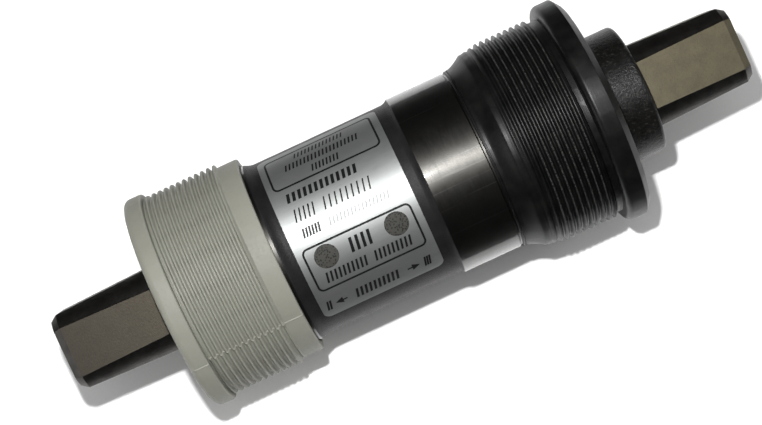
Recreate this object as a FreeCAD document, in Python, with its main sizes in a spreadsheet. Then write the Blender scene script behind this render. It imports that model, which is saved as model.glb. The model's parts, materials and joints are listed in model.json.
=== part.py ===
"""Square-taper cartridge bottom bracket for a 68 mm English-threaded frame shell.

Millimetres.  X runs along the spindle, with the drive side at +X.  Z is up.
The origin is the middle of the spindle, on its axis.  Every length that
drives the shape is a named cell of the sheet "Dims".
"""
import FreeCAD
import Part
import Sketcher
import os
import re

# name of the cell, value in mm (or a count), meaning
DIMENSIONS = [
    # spindle
    ("spindle_length", 117.5, "end to end"),
    ("seat_radius", 8.0, "round part that carries the bearings"),
    ("corner_end", 7.6, "cone that rounds the four corners of the tapers, at the end face"),
    ("corner_root", 7.95, "the same cone, where the flats stop"),
    ("taper_length", 22.0, "length of the flats, from each end face"),
    ("taper_end_half", 6.3, "half the width across flats at the end face"),
    ("taper_root_half", 7.07, "half the width across flats where the flats stop"),
    ("bevel_length", 1.2, "bevel round the end of each taper, along the spindle"),
    ("bevel_depth", 0.8, "the same bevel, across the spindle"),
    ("spindle_turn", 20.2, "how far the flats are turned from straight up towards -Y, in degrees"),
    ("collar_radius", 10.85, "forged shoulder beside the drive-side flange"),
    ("collar_face", 41.8, "outer face of the shoulder"),
    ("collar_edge", 0.5, "bevel round the shoulder's outer face"),
    ("shoulder_radius", 9.4, "step that the bearing's inner race stands against"),
    ("bolt_radius", 4.0, "crank bolt hole, M8 nominal"),
    ("bolt_depth", 24.0, "depth of the plain part of the bolt hole"),
    ("bolt_point", 2.3, "length of the drilled point"),
    ("countersink", 0.6, "countersink at the mouth of the bolt hole"),
    # cartridge shell
    ("shell_end", 29.2, "half the length of the cartridge shell"),
    ("journal_radius", 15.25, "ground outside of the shell"),
    ("cup_seat_radius", 15.0, "outside of the shell under the drive-side cup"),
    ("tube_radius", 14.72, "drawn middle of the shell, under the label"),
    ("tube_bore", 13.2, "inside of the drawn middle"),
    ("left_cone_start", 21.05, "from the middle, where the left journal stops"),
    ("left_cone_end", 19.4, "from the middle, where the left cone meets the tube"),
    ("right_cone_start", 3.5, "where the tube starts to rise on the drive side"),
    ("right_cone_end", 4.6, "where the ground band starts"),
    ("band_end", 14.2, "where the ground band stops"),
    ("shell_chamfer", 0.35, "chamfer on the shell's ends"),
    # bearings, 16 x 28 x 7
    ("race_inner_face", 19.5, "inboard face of each bearing, from the middle"),
    ("race_width", 7.0, "width of each bearing"),
    ("bearing_radius", 14.0, "outside of each outer race"),
    ("inner_race_top", 9.8, "outside of the inner race"),
    ("outer_race_bore", 12.2, "inside of the outer race"),
    ("ball_radius", 1.985, "5/32 inch balls"),
    ("pitch_radius", 11.0, "circle of the ball centres"),
    ("groove_radius", 2.05, "section of the ball tracks"),
    ("ball_count", 12, "balls in each bearing"),
    ("seal_step", 13.1, "recess in the outer race for a seal"),
    ("seal_step_width", 0.9, "depth of that recess"),
    ("seal_inset", 0.15, "seal below the face of the bearing"),
    ("seal_width", 0.7, "thickness of a bearing seal"),
    ("seal_bore", 9.9, "inside of a bearing seal"),
    ("cage_bore", 10.5, "inside of the cage"),
    ("cage_top", 11.5, "outside of the cage"),
    ("cage_width", 4.6, "width of the cage"),
    ("pocket_radius", 2.05, "ball pocket in the cage"),
    # between and beside the bearings
    ("sleeve_bore", 8.05, "inside of the spacer between the inner races"),
    ("sleeve_top", 9.2, "outside of that spacer"),
    ("clip_groove_radius", 7.5, "bottom of the retaining ring's groove"),
    ("clip_groove_width", 1.1, "width of that groove"),
    ("clip_radius", 9.5, "outside of the retaining ring"),
    ("clip_width", 1.0, "thickness of the retaining ring"),
    ("clip_angle", 335.0, "how far the retaining ring reaches round, in degrees"),
    ("dust_seal_width", 1.4, "thickness of the dust seals at the shell's ends"),
    ("lip_clearance", 0.05, "running clearance of a dust seal's lip"),
    # threads, 1.37 inch x 24 to the inch, as ring grooves
    ("thread_radius", 17.4, "crest of the shell thread"),
    ("thread_pitch", 1.0583, "24 threads to the inch"),
    ("thread_mouth", 0.47, "width of a thread groove at the crest"),
    ("thread_depth", 0.41, "depth of a thread groove"),
    # drive-side cup
    ("flange_seat", 31.2, "inboard face of the flange, against the frame's shell"),
    ("flange_width", 4.3, "thickness of the flange"),
    ("flange_radius", 18.8, "outside of the flange"),
    ("flange_bevel_width", 1.05, "bevel of the outboard edge, along the spindle"),
    ("flange_bevel_depth", 1.4, "the same bevel, across the spindle"),
    ("flange_edge", 1.05, "rounding of the inboard edge"),
    ("cup_nose", 14.45, "inboard end of the cup"),
    ("nose_radius", 15.45, "outside of the nose"),
    ("nose_flat", 0.9, "length of the straight part of the nose"),
    ("flare_middle", 16.7, "middle of the flare"),
    ("flare_middle_radius", 15.95, "outside of the cup there"),
    ("flare_end", 17.9, "where the flare meets the land"),
    ("land_radius", 16.75, "plain land beside the threads"),
    ("cup_thread_start", 19.05, "first thread crest of the cup"),
    ("cup_grooves", 10, "thread grooves of the cup"),
    ("cup_lip_width", 1.0, "ring between the shell's end and the tool socket"),
    # left adapter
    ("frame_shell_width", 68.0, "width of the frame's bottom bracket shell"),
    ("adapter_gap", 0.8, "how far the adapter stands out from its home"),
    ("rim_width", 3.15, "thickness of the adapter's rim"),
    ("rim_radius", 18.05, "outside of the rim"),
    ("rim_edge", 1.1, "rounding of the rim's outboard edge"),
    ("adapter_length", 19.35, "end to end"),
    ("adapter_land", 16.7, "plain land beside the threads"),
    ("adapter_bore", 15.31, "running fit on the shell's left journal"),
    ("adapter_lip", 14.4, "ring that pushes on the shell's end"),
    ("adapter_thread_start", 0.45, "from the rim's inboard face to the first crest"),
    ("adapter_grooves", 11, "thread grooves of the adapter"),
    # tool splines in both mouths
    ("spline_count", 20, "splines of the tool socket"),
    ("spline_tip", 15.0, "tips of the splines"),
    ("spline_root", 15.85, "bottom of the slots"),
    ("spline_slot", 2.4, "width of a slot"),
    # label
    ("label_left", -18.75, "left edge of the label"),
    ("label_width", 20.5, "along the spindle"),
    ("label_thickness", 0.1, "printed foil"),
    ("label_span", 130.0, "how far the label reaches round, in degrees"),
    ("label_start", 57.0, "upper edge of the label, from straight up towards +Y, in degrees"),
    ("label_corner", 1.3, "rounding of the label's corners"),
]
ALIASES = {alias for alias, value, meaning in DIMENSIONS}

doc = FreeCAD.newDocument("bottom_bracket")
sheet = doc.addObject("Spreadsheet::Sheet", "Dims")
for row, (alias, value, meaning) in enumerate(DIMENSIONS, start=1):
    sheet.set(f"A{row}", meaning)
    sheet.set(f"B{row}", str(value))
    sheet.setAlias(f"B{row}", alias)
doc.recompute()


def cells(text):
    """Turn the words of a formula that name a cell into references to the sheet."""
    return re.sub(r"[a-z_]+", lambda word: "Dims." + word[0] if word[0] in ALIASES else word[0], text)


def measure(text):
    """Value of a formula of cell names."""
    return float(sheet.evalExpression(cells(text)))


def bind(item, **formulas):
    """Bind properties of an object to formulas of cell names."""
    for name, text in formulas.items():
        item.setExpression(name, cells(text))


# ---------------------------------------------------------------- building blocks

def new_body(label):
    body = doc.addObject("PartDesign::Body", label)
    body.Label = label
    return body


def origin_part(body, role):
    """The origin plane or axis of a body that has this role."""
    return next(part for part in body.Origin.OriginFeatures if part.Role == role)


def new_sketch(body, name, role):
    sketch = body.newObject("Sketcher::SketchObject", name)
    sketch.AttachmentSupport = [(origin_part(body, role), "")]
    sketch.MapMode = "FlatFace"
    return sketch


def place_point(sketch, curve, end, across, up):
    """Hold a point of a sketch at two formulas, measured from the sketch's origin."""
    for kind, text in (("DistanceX", across), ("DistanceY", up)):
        index = sketch.addConstraint(Sketcher.Constraint(kind, -1, 1, curve, end, measure(text)))
        sketch.setExpression(f"Constraints[{index}]", cells(text))


def draw_outline(body, name, corners, role="XZ_Plane"):
    """A closed outline of straight edges. Each corner is two formulas: across and up."""
    sketch = new_sketch(body, name, role)
    points = [FreeCAD.Vector(measure(across), measure(up), 0) for across, up in corners]
    for first, second in zip(points, points[1:] + points[:1]):
        sketch.addGeometry(Part.LineSegment(first, second), False)
    count = len(corners)
    for edge in range(count):
        sketch.addConstraint(Sketcher.Constraint("Coincident", edge, 2, (edge + 1) % count, 1))
    for edge, (across, up) in enumerate(corners):
        place_point(sketch, edge, 1, across, up)
    return sketch


def draw_circle(body, name, across, up, radius, role="XZ_Plane"):
    """A circle whose centre and radius are formulas."""
    sketch = new_sketch(body, name, role)
    centre = FreeCAD.Vector(measure(across), measure(up), 0)
    sketch.addGeometry(Part.Circle(centre, FreeCAD.Vector(0, 0, 1), measure(radius)), False)
    place_point(sketch, 0, 3, across, up)
    index = sketch.addConstraint(Sketcher.Constraint("Radius", 0, measure(radius)))
    sketch.setExpression(f"Constraints[{index}]", cells(radius))
    return sketch


def turn(body, name, corners, angle=None):
    """Turn an outline of (along X, radius) corners about the X axis."""
    sketch = draw_outline(body, name + "_outline", corners)
    solid = body.newObject("PartDesign::Revolution", name)
    solid.Profile = sketch
    solid.ReferenceAxis = (sketch, ["H_Axis"])
    solid.Angle = 360
    if angle:
        bind(solid, Angle=angle)
    doc.recompute()
    return solid


def check_cut(body, before, name):
    """A cut that points away from the solid removes nothing and raises nothing, so compare."""
    doc.recompute()
    if body.Shape.Volume > before - 1e-3:
        raise RuntimeError(f"{body.Label}: {name} removed nothing")


def turn_groove(body, name, sketch):
    """Cut a groove: the sketch turned about the X axis."""
    before = body.Shape.Volume
    groove = body.newObject("PartDesign::Groove", name)
    groove.Profile = sketch
    groove.ReferenceAxis = (sketch, ["H_Axis"])
    groove.Angle = 360
    check_cut(body, before, name)
    return groove


def repeat_round(body, name, feature, count):
    """Repeat a cut evenly about the X axis."""
    before = body.Shape.Volume
    pattern = body.newObject("PartDesign::PolarPattern", name)
    pattern.Originals = [feature]
    pattern.Axis = (origin_part(body, "X_Axis"), [""])
    pattern.Angle = 360
    bind(pattern, Occurrences=count)
    body.Tip = pattern
    check_cut(body, before, name)


def cut_thread(body, name, first_groove, count):
    """Ring grooves of the thread's own pitch and crest radius, from the first groove's left edge."""
    sketch = draw_outline(body, name + "_section", [
        (f"{first_groove} - thread_mouth / 4", "thread_radius + thread_depth / 2"),
        (f"{first_groove} + thread_mouth / 2", "thread_radius - thread_depth"),
        (f"{first_groove} + thread_mouth * 5 / 4", "thread_radius + thread_depth / 2"),
    ])
    groove = turn_groove(body, name + "_groove", sketch)
    before = body.Shape.Volume
    pattern = body.newObject("PartDesign::LinearPattern", name)
    pattern.Originals = [groove]
    pattern.Direction = (origin_part(body, "X_Axis"), [""])
    bind(pattern, Length=f"thread_pitch * ({count} - 1)", Occurrences=count)
    body.Tip = pattern
    check_cut(body, before, name)


def cut_splines(body, name, mouth, length, inwards):
    """Slots of the tool socket, cut from the mouth towards the middle of the bracket."""
    sketch = draw_outline(body, name + "_section", [
        ("-spline_slot / 2", "spline_tip - 0.5"),
        ("spline_slot / 2", "spline_tip - 0.5"),
        ("spline_slot * 0.4", "spline_root"),
        ("-spline_slot * 0.4", "spline_root"),
    ], role="YZ_Plane")
    sketch.setExpression("AttachmentOffset.Base.z", cells(mouth))
    before = body.Shape.Volume
    slot = body.newObject("PartDesign::Pocket", name + "_slot")
    slot.Profile = sketch
    slot.Reversed = inwards > 0
    bind(slot, Length=length)
    check_cut(body, before, name)
    repeat_round(body, name, slot, "spline_count")


def round_edges(body, name, radius, chosen):
    """Round every edge that the test chooses."""
    edges = [f"Edge{i}" for i, edge in enumerate(body.Shape.Edges, start=1) if chosen(edge)]
    if not edges:
        raise RuntimeError(f"{body.Label}: {name} found no edge")
    last = body.Tip
    fillet = body.newObject("PartDesign::Fillet", name)
    fillet.Base = (last, edges)
    bind(fillet, Radius=radius)
    body.Tip = fillet
    doc.recompute()


def ring_edge(along, radius):
    """A test for the full circle about the X axis at this place and of this radius."""
    def chosen(edge):
        curve = edge.Curve
        if not isinstance(curve, Part.Circle):
            return False
        near = abs(curve.Center.x - measure(along)) < 0.01
        return near and abs(curve.Radius - measure(radius)) < 0.01
    return chosen


def turn_body(body, sign, angle):
    """Turn a whole body about the X axis: towards -Y with sign 1, towards +Y with sign -1."""
    turned = FreeCAD.Rotation(FreeCAD.Vector(sign, 0, 0), measure(angle))
    body.Placement = FreeCAD.Placement(FreeCAD.Vector(), turned)
    body.setExpression("Placement.Rotation.Angle", cells(f"{angle} * 1 deg"))


def ring(label, left, right, inner, outer, angle=None):
    """A plain ring about the X axis, as a body of its own."""
    body = new_body(label)
    turn(body, "ring", [(left, inner), (right, inner), (right, outer), (left, outer)], angle)
    return body


# ---------------------------------------------------------------- spindle

def make_spindle():
    body = new_body("spindle")
    end = "spindle_length / 2"
    clip_left = "-(race_inner_face + race_width + clip_groove_width)"
    clip_right = "-(race_inner_face + race_width)"
    shoulder = "race_inner_face + race_width"
    seal_side = "shell_end - dust_seal_width - 0.2"
    hole_bottom = f"{end} - bolt_depth"
    turn(body, "turned_bar", [
        (f"-({hole_bottom} - bolt_point)", "0"),
        (f"-({hole_bottom})", "bolt_radius"),
        (f"-({end} - countersink)", "bolt_radius"),
        (f"-{end}", "bolt_radius + countersink"),
        (f"-{end}", "corner_end - bevel_depth"),
        (f"-({end} - bevel_length)", "corner_end"),
        (f"-({end} - taper_length)", "corner_root"),
        (f"-({end} - taper_length)", "seat_radius"),
        (clip_left, "seat_radius"),
        (clip_left, "clip_groove_radius"),
        (clip_right, "clip_groove_radius"),
        (clip_right, "seat_radius"),
        (shoulder, "seat_radius"),
        (shoulder, "shoulder_radius"),
        (seal_side, "shoulder_radius"),
        (seal_side, "collar_radius"),
        ("collar_face - collar_edge", "collar_radius"),
        ("collar_face", "collar_radius - collar_edge"),
        ("collar_face", "corner_root"),
        (f"{end} - bevel_length", "corner_end"),
        (end, "corner_end - bevel_depth"),
        (end, "bolt_radius + countersink"),
        (f"{end} - countersink", "bolt_radius"),
        (hole_bottom, "bolt_radius"),
        (f"{hole_bottom} - bolt_point", "0"),
    ])
    make_flats(body, "left_flats", -1, "taper_length")
    make_flats(body, "right_flats", 1, f"{end} - collar_face")
    turn_body(body, 1, "spindle_turn")


def make_flats(body, name, out, length):
    """Cut one tapered flat across the top of the bar, with its end bevelled, then the other three.

    out is the sign of X at this end, and length is how far the flat reaches from the end face.
    """
    slope = "(taper_root_half - taper_end_half) / taper_length"
    corners = [
        (length, f"taper_end_half + {slope} * ({length})"),
        ("bevel_length", f"taper_end_half + {slope} * bevel_length"),
        ("-bevel_length", "taper_end_half - bevel_depth * 2"),
        ("-bevel_length", "collar_radius + 2"),
        (length, "collar_radius + 2"),
    ]
    sketch = draw_outline(body, name + "_section", [
        (f"{out} * (spindle_length / 2 - ({depth}))", half) for depth, half in corners])
    before = body.Shape.Volume
    flat = body.newObject("PartDesign::Pocket", name + "_flat")
    flat.Profile = sketch
    flat.SideType = "Symmetric"
    bind(flat, Length="collar_radius * 4")
    check_cut(body, before, name)
    repeat_round(body, name, flat, "4")


# ---------------------------------------------------------------- fixed cartridge

def make_shell():
    body = new_body("cartridge_shell")
    turn(body, "shell", [
        ("-shell_end", "bearing_radius"),
        ("-shell_end", "journal_radius - shell_chamfer"),
        ("-(shell_end - shell_chamfer)", "journal_radius"),
        ("-left_cone_start", "journal_radius"),
        ("-left_cone_end", "tube_radius"),
        ("right_cone_start", "tube_radius"),
        ("right_cone_end", "journal_radius"),
        ("band_end", "journal_radius"),
        ("band_end", "cup_seat_radius"),
        ("shell_end - shell_chamfer", "cup_seat_radius"),
        ("shell_end", "cup_seat_radius - shell_chamfer"),
        ("shell_end", "bearing_radius"),
        ("race_inner_face", "bearing_radius"),
        ("race_inner_face", "tube_bore"),
        ("-race_inner_face", "tube_bore"),
        ("-race_inner_face", "bearing_radius"),
    ])


def make_cup():
    body = new_body("drive_side_cup")
    face = "flange_seat + flange_width"
    turn(body, "cup", [
        ("cup_nose", "cup_seat_radius"),
        ("cup_nose", "nose_radius"),
        ("cup_nose + nose_flat", "nose_radius"),
        ("flare_middle", "flare_middle_radius"),
        ("flare_end", "land_radius"),
        ("cup_thread_start", "land_radius"),
        ("cup_thread_start", "thread_radius"),
        ("cup_thread_start + thread_pitch * (cup_grooves + 1) - thread_mouth", "thread_radius"),
        ("cup_thread_start + thread_pitch * (cup_grooves + 1) - thread_mouth", "land_radius"),
        ("flange_seat", "land_radius"),
        ("flange_seat", "flange_radius"),
        (f"{face} - flange_bevel_width", "flange_radius"),
        (face, "flange_radius - flange_bevel_depth"),
        (face, "spline_tip"),
        ("shell_end + cup_lip_width", "spline_tip"),
        ("shell_end + cup_lip_width", "adapter_lip"),
        ("shell_end", "adapter_lip"),
        ("shell_end", "cup_seat_radius"),
    ])
    round_edges(body, "flange_rounding", "flange_edge", ring_edge("flange_seat", "flange_radius"))
    cut_thread(body, "cup_thread", "cup_thread_start + thread_pitch - thread_mouth", "cup_grooves")
    cut_splines(body, "cup_splines", face, f"{face} - shell_end - cup_lip_width", inwards=-1)


def make_label():
    body = new_body("label_plate")
    turn(body, "foil", [
        ("label_left", "tube_radius"),
        ("label_left + label_width", "tube_radius"),
        ("label_left + label_width", "tube_radius + label_thickness"),
        ("label_left", "tube_radius + label_thickness"),
    ], "label_span")
    thickness = measure("label_thickness")
    round_edges(body, "corners", "label_corner", lambda edge: abs(edge.Length - thickness) < 1e-4)
    turn_body(body, -1, "label_start")


# ---------------------------------------------------------------- left adapter

def make_adapter():
    body = new_body("left_adapter")
    rim_inside = "-(frame_shell_width - flange_seat + adapter_gap)"
    rim_outside = f"{rim_inside} - rim_width"
    inner_end = f"{rim_outside} + adapter_length"
    threads = f"{rim_inside} + adapter_thread_start"
    threads_end = f"{threads} + thread_pitch * (adapter_grooves + 1) - thread_mouth"
    lip = "-(shell_end + adapter_gap)"
    turn(body, "adapter", [
        (rim_outside, "spline_tip"),
        (rim_outside, "rim_radius"),
        (rim_inside, "rim_radius"),
        (rim_inside, "adapter_land"),
        (threads, "adapter_land"),
        (threads, "thread_radius"),
        (threads_end, "thread_radius"),
        (threads_end, "adapter_land"),
        (inner_end, "adapter_land"),
        (inner_end, "adapter_bore"),
        (lip, "adapter_bore"),
        (lip, "adapter_lip"),
        (f"{lip} - cup_lip_width", "adapter_lip"),
        (f"{lip} - cup_lip_width", "spline_tip"),
    ])
    round_edges(body, "rim_rounding", "rim_edge", ring_edge(rim_outside, "rim_radius"))
    cut_thread(body, "adapter_thread", f"{threads} + thread_pitch - thread_mouth", "adapter_grooves")
    cut_splines(body, "adapter_splines", rim_outside, f"{lip} - cup_lip_width - ({rim_outside})", inwards=1)


# ---------------------------------------------------------------- bearings

def make_bearing(side, sign):
    """One sealed ball bearing. sign is +1 on the drive side and -1 on the left."""
    def across(inner, outer):
        """The low and high ends of a stretch given from the middle of the bracket outwards."""
        stretch = (f"{sign} * ({inner})", f"{sign} * ({outer})")
        return stretch if sign > 0 else stretch[::-1]

    middle = f"{sign} * (race_inner_face + race_width / 2)"
    low, high = across("race_inner_face", "race_inner_face + race_width")

    inner_race = ring(f"{side}_bearing_inner_race", low, high, "seat_radius", "inner_race_top")
    track = draw_circle(inner_race, "track_section", middle, "pitch_radius", "groove_radius")
    turn_groove(inner_race, "track", track)

    outer_race = new_body(f"{side}_bearing_outer_race")
    turn(outer_race, "ring", [
        (low, "bearing_radius"),
        (low, "seal_step"),
        (f"{low} + seal_step_width", "seal_step"),
        (f"{low} + seal_step_width", "outer_race_bore"),
        (f"{high} - seal_step_width", "outer_race_bore"),
        (f"{high} - seal_step_width", "seal_step"),
        (high, "seal_step"),
        (high, "bearing_radius"),
    ])
    track = draw_circle(outer_race, "track_section", middle, "pitch_radius", "groove_radius")
    turn_groove(outer_race, "track", track)

    cage = ring(f"{side}_bearing_cage", f"{middle} - cage_width / 2", f"{middle} + cage_width / 2",
                "cage_bore", "cage_top")
    window = draw_circle(cage, "pocket_section", middle, "0", "pocket_radius", role="XY_Plane")
    before = cage.Shape.Volume
    pocket = cage.newObject("PartDesign::Pocket", "pocket")
    pocket.Profile = window
    pocket.Reversed = True
    bind(pocket, Length="cage_top + 1")
    check_cut(cage, before, "pocket")
    repeat_round(cage, "pockets", pocket, "ball_count")

    inboard = across("race_inner_face + seal_inset", "race_inner_face + seal_inset + seal_width")
    outboard = across("race_inner_face + race_width - seal_inset - seal_width",
                      "race_inner_face + race_width - seal_inset")
    ring(f"{side}_bearing_inboard_seal", *inboard, "seal_bore", "seal_step")
    ring(f"{side}_bearing_outboard_seal", *outboard, "seal_bore", "seal_step")
    make_balls(f"{side}_bearing_balls", middle)


def make_balls(label, middle):
    """The balls of one bearing, as one compound of separate solids."""
    balls = []
    for number in range(int(measure("ball_count"))):
        ball = doc.addObject("Part::Sphere", f"{label}_{number + 1}")
        turned = f"(360 deg * {number} / ball_count)"
        bind(ball, Radius="ball_radius")
        ball.setExpression("Placement.Base.x", cells(middle))
        ball.setExpression("Placement.Base.y", cells(f"pitch_radius * sin{turned}"))
        ball.setExpression("Placement.Base.z", cells(f"pitch_radius * cos{turned}"))
        balls.append(ball)
    group = doc.addObject("Part::Compound", label)
    group.Label = label
    group.Links = balls
    return group


def make_small_rings():
    """Spacer, retaining ring and the dust seals at the shell's ends."""
    ring("inner_race_spacer", "-race_inner_face", "race_inner_face", "sleeve_bore", "sleeve_top")
    gap = "(clip_groove_width - clip_width) / 2"
    ring("left_retaining_ring",
         f"-(race_inner_face + race_width + clip_width + {gap})",
         f"-(race_inner_face + race_width + {gap})",
         "clip_groove_radius", "clip_radius", "clip_angle")
    ring("right_dust_seal", "shell_end - dust_seal_width", "shell_end",
         "collar_radius + lip_clearance", "bearing_radius")
    ring("left_dust_seal", "-shell_end", "-(shell_end - dust_seal_width)",
         "seat_radius + lip_clearance", "bearing_radius")


# ---------------------------------------------------------------- assembly

make_spindle()
make_shell()
make_cup()
make_label()
make_adapter()
make_bearing("right", 1)
make_bearing("left", -1)
make_small_rings()
doc.recompute()

for item in doc.Objects:
    if "Invalid" in item.State or "Error" in item.State:
        raise RuntimeError(f"{item.Label}: {item.State}")

os.makedirs("parts", exist_ok=True)
for item in doc.Objects:
    if item.TypeId not in ("PartDesign::Body", "Part::Compound"):
        continue
    shape = item.Shape
    if shape.isNull() or not shape.isValid():
        raise RuntimeError(f"{item.Label}: the shape is not valid")
    shape.exportStep(f"parts/{item.Label}.step")
    print(f"{item.Label:30s} {len(shape.Solids):3d} solids {shape.Volume:10.1f} mm3")
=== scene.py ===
"""Looks of a square-taper cartridge bottom bracket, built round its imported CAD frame.

Outlines are in millimetres along the spindle (X, drive side positive) and out from its
axis.  Angles about the spindle are in degrees from +Y towards +Z.  Blender objects are in
metres, in the frame of the CAD model.
"""
import json
import math

import bmesh
import bpy
from mathutils import Matrix, Vector


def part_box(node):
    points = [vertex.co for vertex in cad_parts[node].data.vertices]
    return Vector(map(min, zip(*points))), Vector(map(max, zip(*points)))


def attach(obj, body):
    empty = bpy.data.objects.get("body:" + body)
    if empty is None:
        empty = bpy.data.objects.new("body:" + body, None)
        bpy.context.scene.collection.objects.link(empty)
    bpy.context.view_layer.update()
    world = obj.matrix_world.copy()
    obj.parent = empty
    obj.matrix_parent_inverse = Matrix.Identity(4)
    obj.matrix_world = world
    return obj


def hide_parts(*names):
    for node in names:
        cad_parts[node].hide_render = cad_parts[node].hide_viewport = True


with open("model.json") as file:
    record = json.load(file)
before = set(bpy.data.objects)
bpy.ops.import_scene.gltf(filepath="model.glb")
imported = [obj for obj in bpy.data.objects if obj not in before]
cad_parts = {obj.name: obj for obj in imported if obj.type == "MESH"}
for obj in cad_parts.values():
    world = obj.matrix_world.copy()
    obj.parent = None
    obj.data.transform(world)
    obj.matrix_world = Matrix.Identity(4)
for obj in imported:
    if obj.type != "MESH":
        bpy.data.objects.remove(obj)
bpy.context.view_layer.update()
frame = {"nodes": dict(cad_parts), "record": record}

MM = 0.001
PITCH = 25.4 / 24                # 24 threads to the inch
THREAD_HEIGHT = 0.65             # from the roots of the threads to their crests
WELD = 2e-6                      # points closer than this, in metres, become one
SPLINES = 20                     # in each tool socket
SEAM = -180 / SPLINES            # every turned piece is joined up half a spline from +Y
STRIP = 0.5                      # width of the flat strips that a bent plate is made of
FACET = 42                       # edges sharper than this many degrees are drawn as creases


# -------------------------------- sizes read from the frame

def node_points(node):
    """Points of a CAD node as (along, radius, angle), in millimetres and degrees."""
    points = []
    for vertex in frame["nodes"][node].data.vertices:
        x, y, z = vertex.co / MM
        points.append((x, math.hypot(y, z), math.degrees(math.atan2(z, y))))
    return points


def reach(node, low, high):
    """Lowest and highest place along X of a node's points whose radius is in a range."""
    along = [x for x, radius, angle in node_points(node) if low < radius < high]
    return min(along), max(along)


def radii(node, low, high):
    """Smallest and largest radius of a node's points whose place along X is in a range."""
    found = [radius for x, radius, angle in node_points(node) if low < x < high]
    return min(found), max(found)


def sides(node):
    """Both ends of a CAD node along X, in millimetres."""
    low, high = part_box(node)
    return low.x / MM, high.x / MM


def mount(name):
    """Middle, half length and radius of a round mount, in millimetres."""
    found = next(item for item in frame["record"]["mounts"] if item["name"] == name)
    return found["pos_m"][0] / MM, found["dims"]["length_mm"] / 2, found["dims"]["r_mm"]


# -------------------------------- mesh building

def place(along, radius, angle):
    """A point on the turned piece, in metres."""
    turn = math.radians(angle)
    return Vector((along, radius * math.cos(turn), radius * math.sin(turn))) * MM


def finish_piece(mesh, name, body, material, crease=FACET):
    """Weld a bmesh, crease its sharp edges and hand it to a body as a new object."""
    bmesh.ops.remove_doubles(mesh, verts=mesh.verts, dist=WELD)
    bmesh.ops.dissolve_degenerate(mesh, dist=WELD, edges=mesh.edges)
    bmesh.ops.recalc_face_normals(mesh, faces=mesh.faces)
    for face in mesh.faces:
        face.smooth = True
    for edge in mesh.edges:
        edge.smooth = edge.calc_face_angle(math.pi) < math.radians(crease)
    data = bpy.data.meshes.new(name)
    mesh.to_mesh(data)
    mesh.free()
    piece = bpy.data.objects.new(name, data)
    bpy.context.scene.collection.objects.link(piece)
    data.materials.append(material)
    even = piece.modifiers.new("even_shading", "WEIGHTED_NORMAL")
    even.keep_sharp = True
    even.weight = 100
    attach(piece, body)
    return piece


def skin(rings, closed):
    """Quads between each ring of points and the next, and from the last to the first if closed."""
    mesh = bmesh.new()
    made = [[mesh.verts.new(point) for point in ring] for ring in rings]
    following = made[1:] + made[:1] if closed else made[1:]
    for low, high in zip(made, following):
        for i in range(len(low) - 1):
            mesh.faces.new((low[i], low[i + 1], high[i + 1], high[i]))
    return mesh


def lathe(rows, columns):
    """A solid turned about X. Each row gives (along, radius) for an angle."""
    return skin([[place(*row(angle), angle) for angle in columns] for row in rows], closed=True)


def plain(*points):
    """Rows of an outline that are the same all the way round."""
    return [lambda angle, point=point: point for point in points]


def arc(along, radius, size, first, last, steps=4):
    """Rows round a corner whose centre is (along, radius), from one direction to another."""
    points = []
    for step in range(steps + 1):
        turn = math.radians(first + (last - first) * step / steps)
        points.append((along + size * math.cos(turn), radius + size * math.sin(turn)))
    return plain(*points)


def bow(start, end, hollow, steps=6):
    """Rows between two points of an outline, along a curve that sinks by a depth halfway."""
    points = []
    for step in range(steps + 1):
        share = step / steps
        sunk = hollow * 4 * share * (1 - share)
        along = start[0] + (end[0] - start[0]) * share
        radius = start[1] + (end[1] - start[1]) * share
        points.append((along + sunk / 2, radius - sunk))
    return plain(*points)


def bevelled_edge(face, outer, width, depth, easing=0.12):
    """Rows of a bevel between a rim and an end face that looks along +X, its corners eased."""
    lean = math.degrees(math.atan2(width, depth))
    rim_side = easing * math.tan(math.radians((90 - lean) / 2))
    face_side = easing * math.tan(math.radians(lean / 2))
    rows = arc(face - width - rim_side, outer - easing, easing, 90, lean, 2)
    return rows + arc(face - easing, outer - depth - face_side, easing, lean, 0, 2)


def between(value, places):
    """Height at a place on a line through (place, height) points."""
    for (first, low), (last, high) in zip(places, places[1:]):
        if value <= last:
            return low + (high - low) * max(value - first, 0) / (last - first)
    return places[-1][1]


def spline_columns(tip_half, root_half, extra=()):
    """Angles of the columns of a piece with tool splines: each slot wall has a pair of its own."""
    period = 360 / SPLINES
    tooth = period * 0.38
    offsets = (-period / 2, -tooth, -tip_half, -root_half, 0, root_half, tip_half, tooth)
    angles = {round(slot * period + offset, 4) for slot in range(SPLINES) for offset in offsets}
    return sorted(angles | {round(360 + SEAM, 4)} | set(extra))


def splined(along, tip, root, root_half):
    """A row of the tool socket: out to the root in the slots and in to the tip elsewhere."""
    period = 360 / SPLINES
    slack = 0.1

    def row(angle):
        offset = (angle + period / 2) % period - period / 2
        return along, root if abs(offset) < root_half + slack else tip
    return [row]


# share of a pitch from the middle of the crest, and share of the thread's height
CUT_THREAD = ((-0.41, 0), (-0.37, 0.05), (-0.10, 0.94), (-0.05, 1), (0.05, 1), (0.10, 0.94),
              (0.37, 0.05), (0.41, 0))
MOULDED_THREAD = ((-0.38, 0), (-0.32, 0.08), (-0.17, 0.84), (-0.10, 0.97), (0.10, 0.97), (0.17, 0.84),
                  (0.32, 0.08), (0.38, 0))


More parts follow.
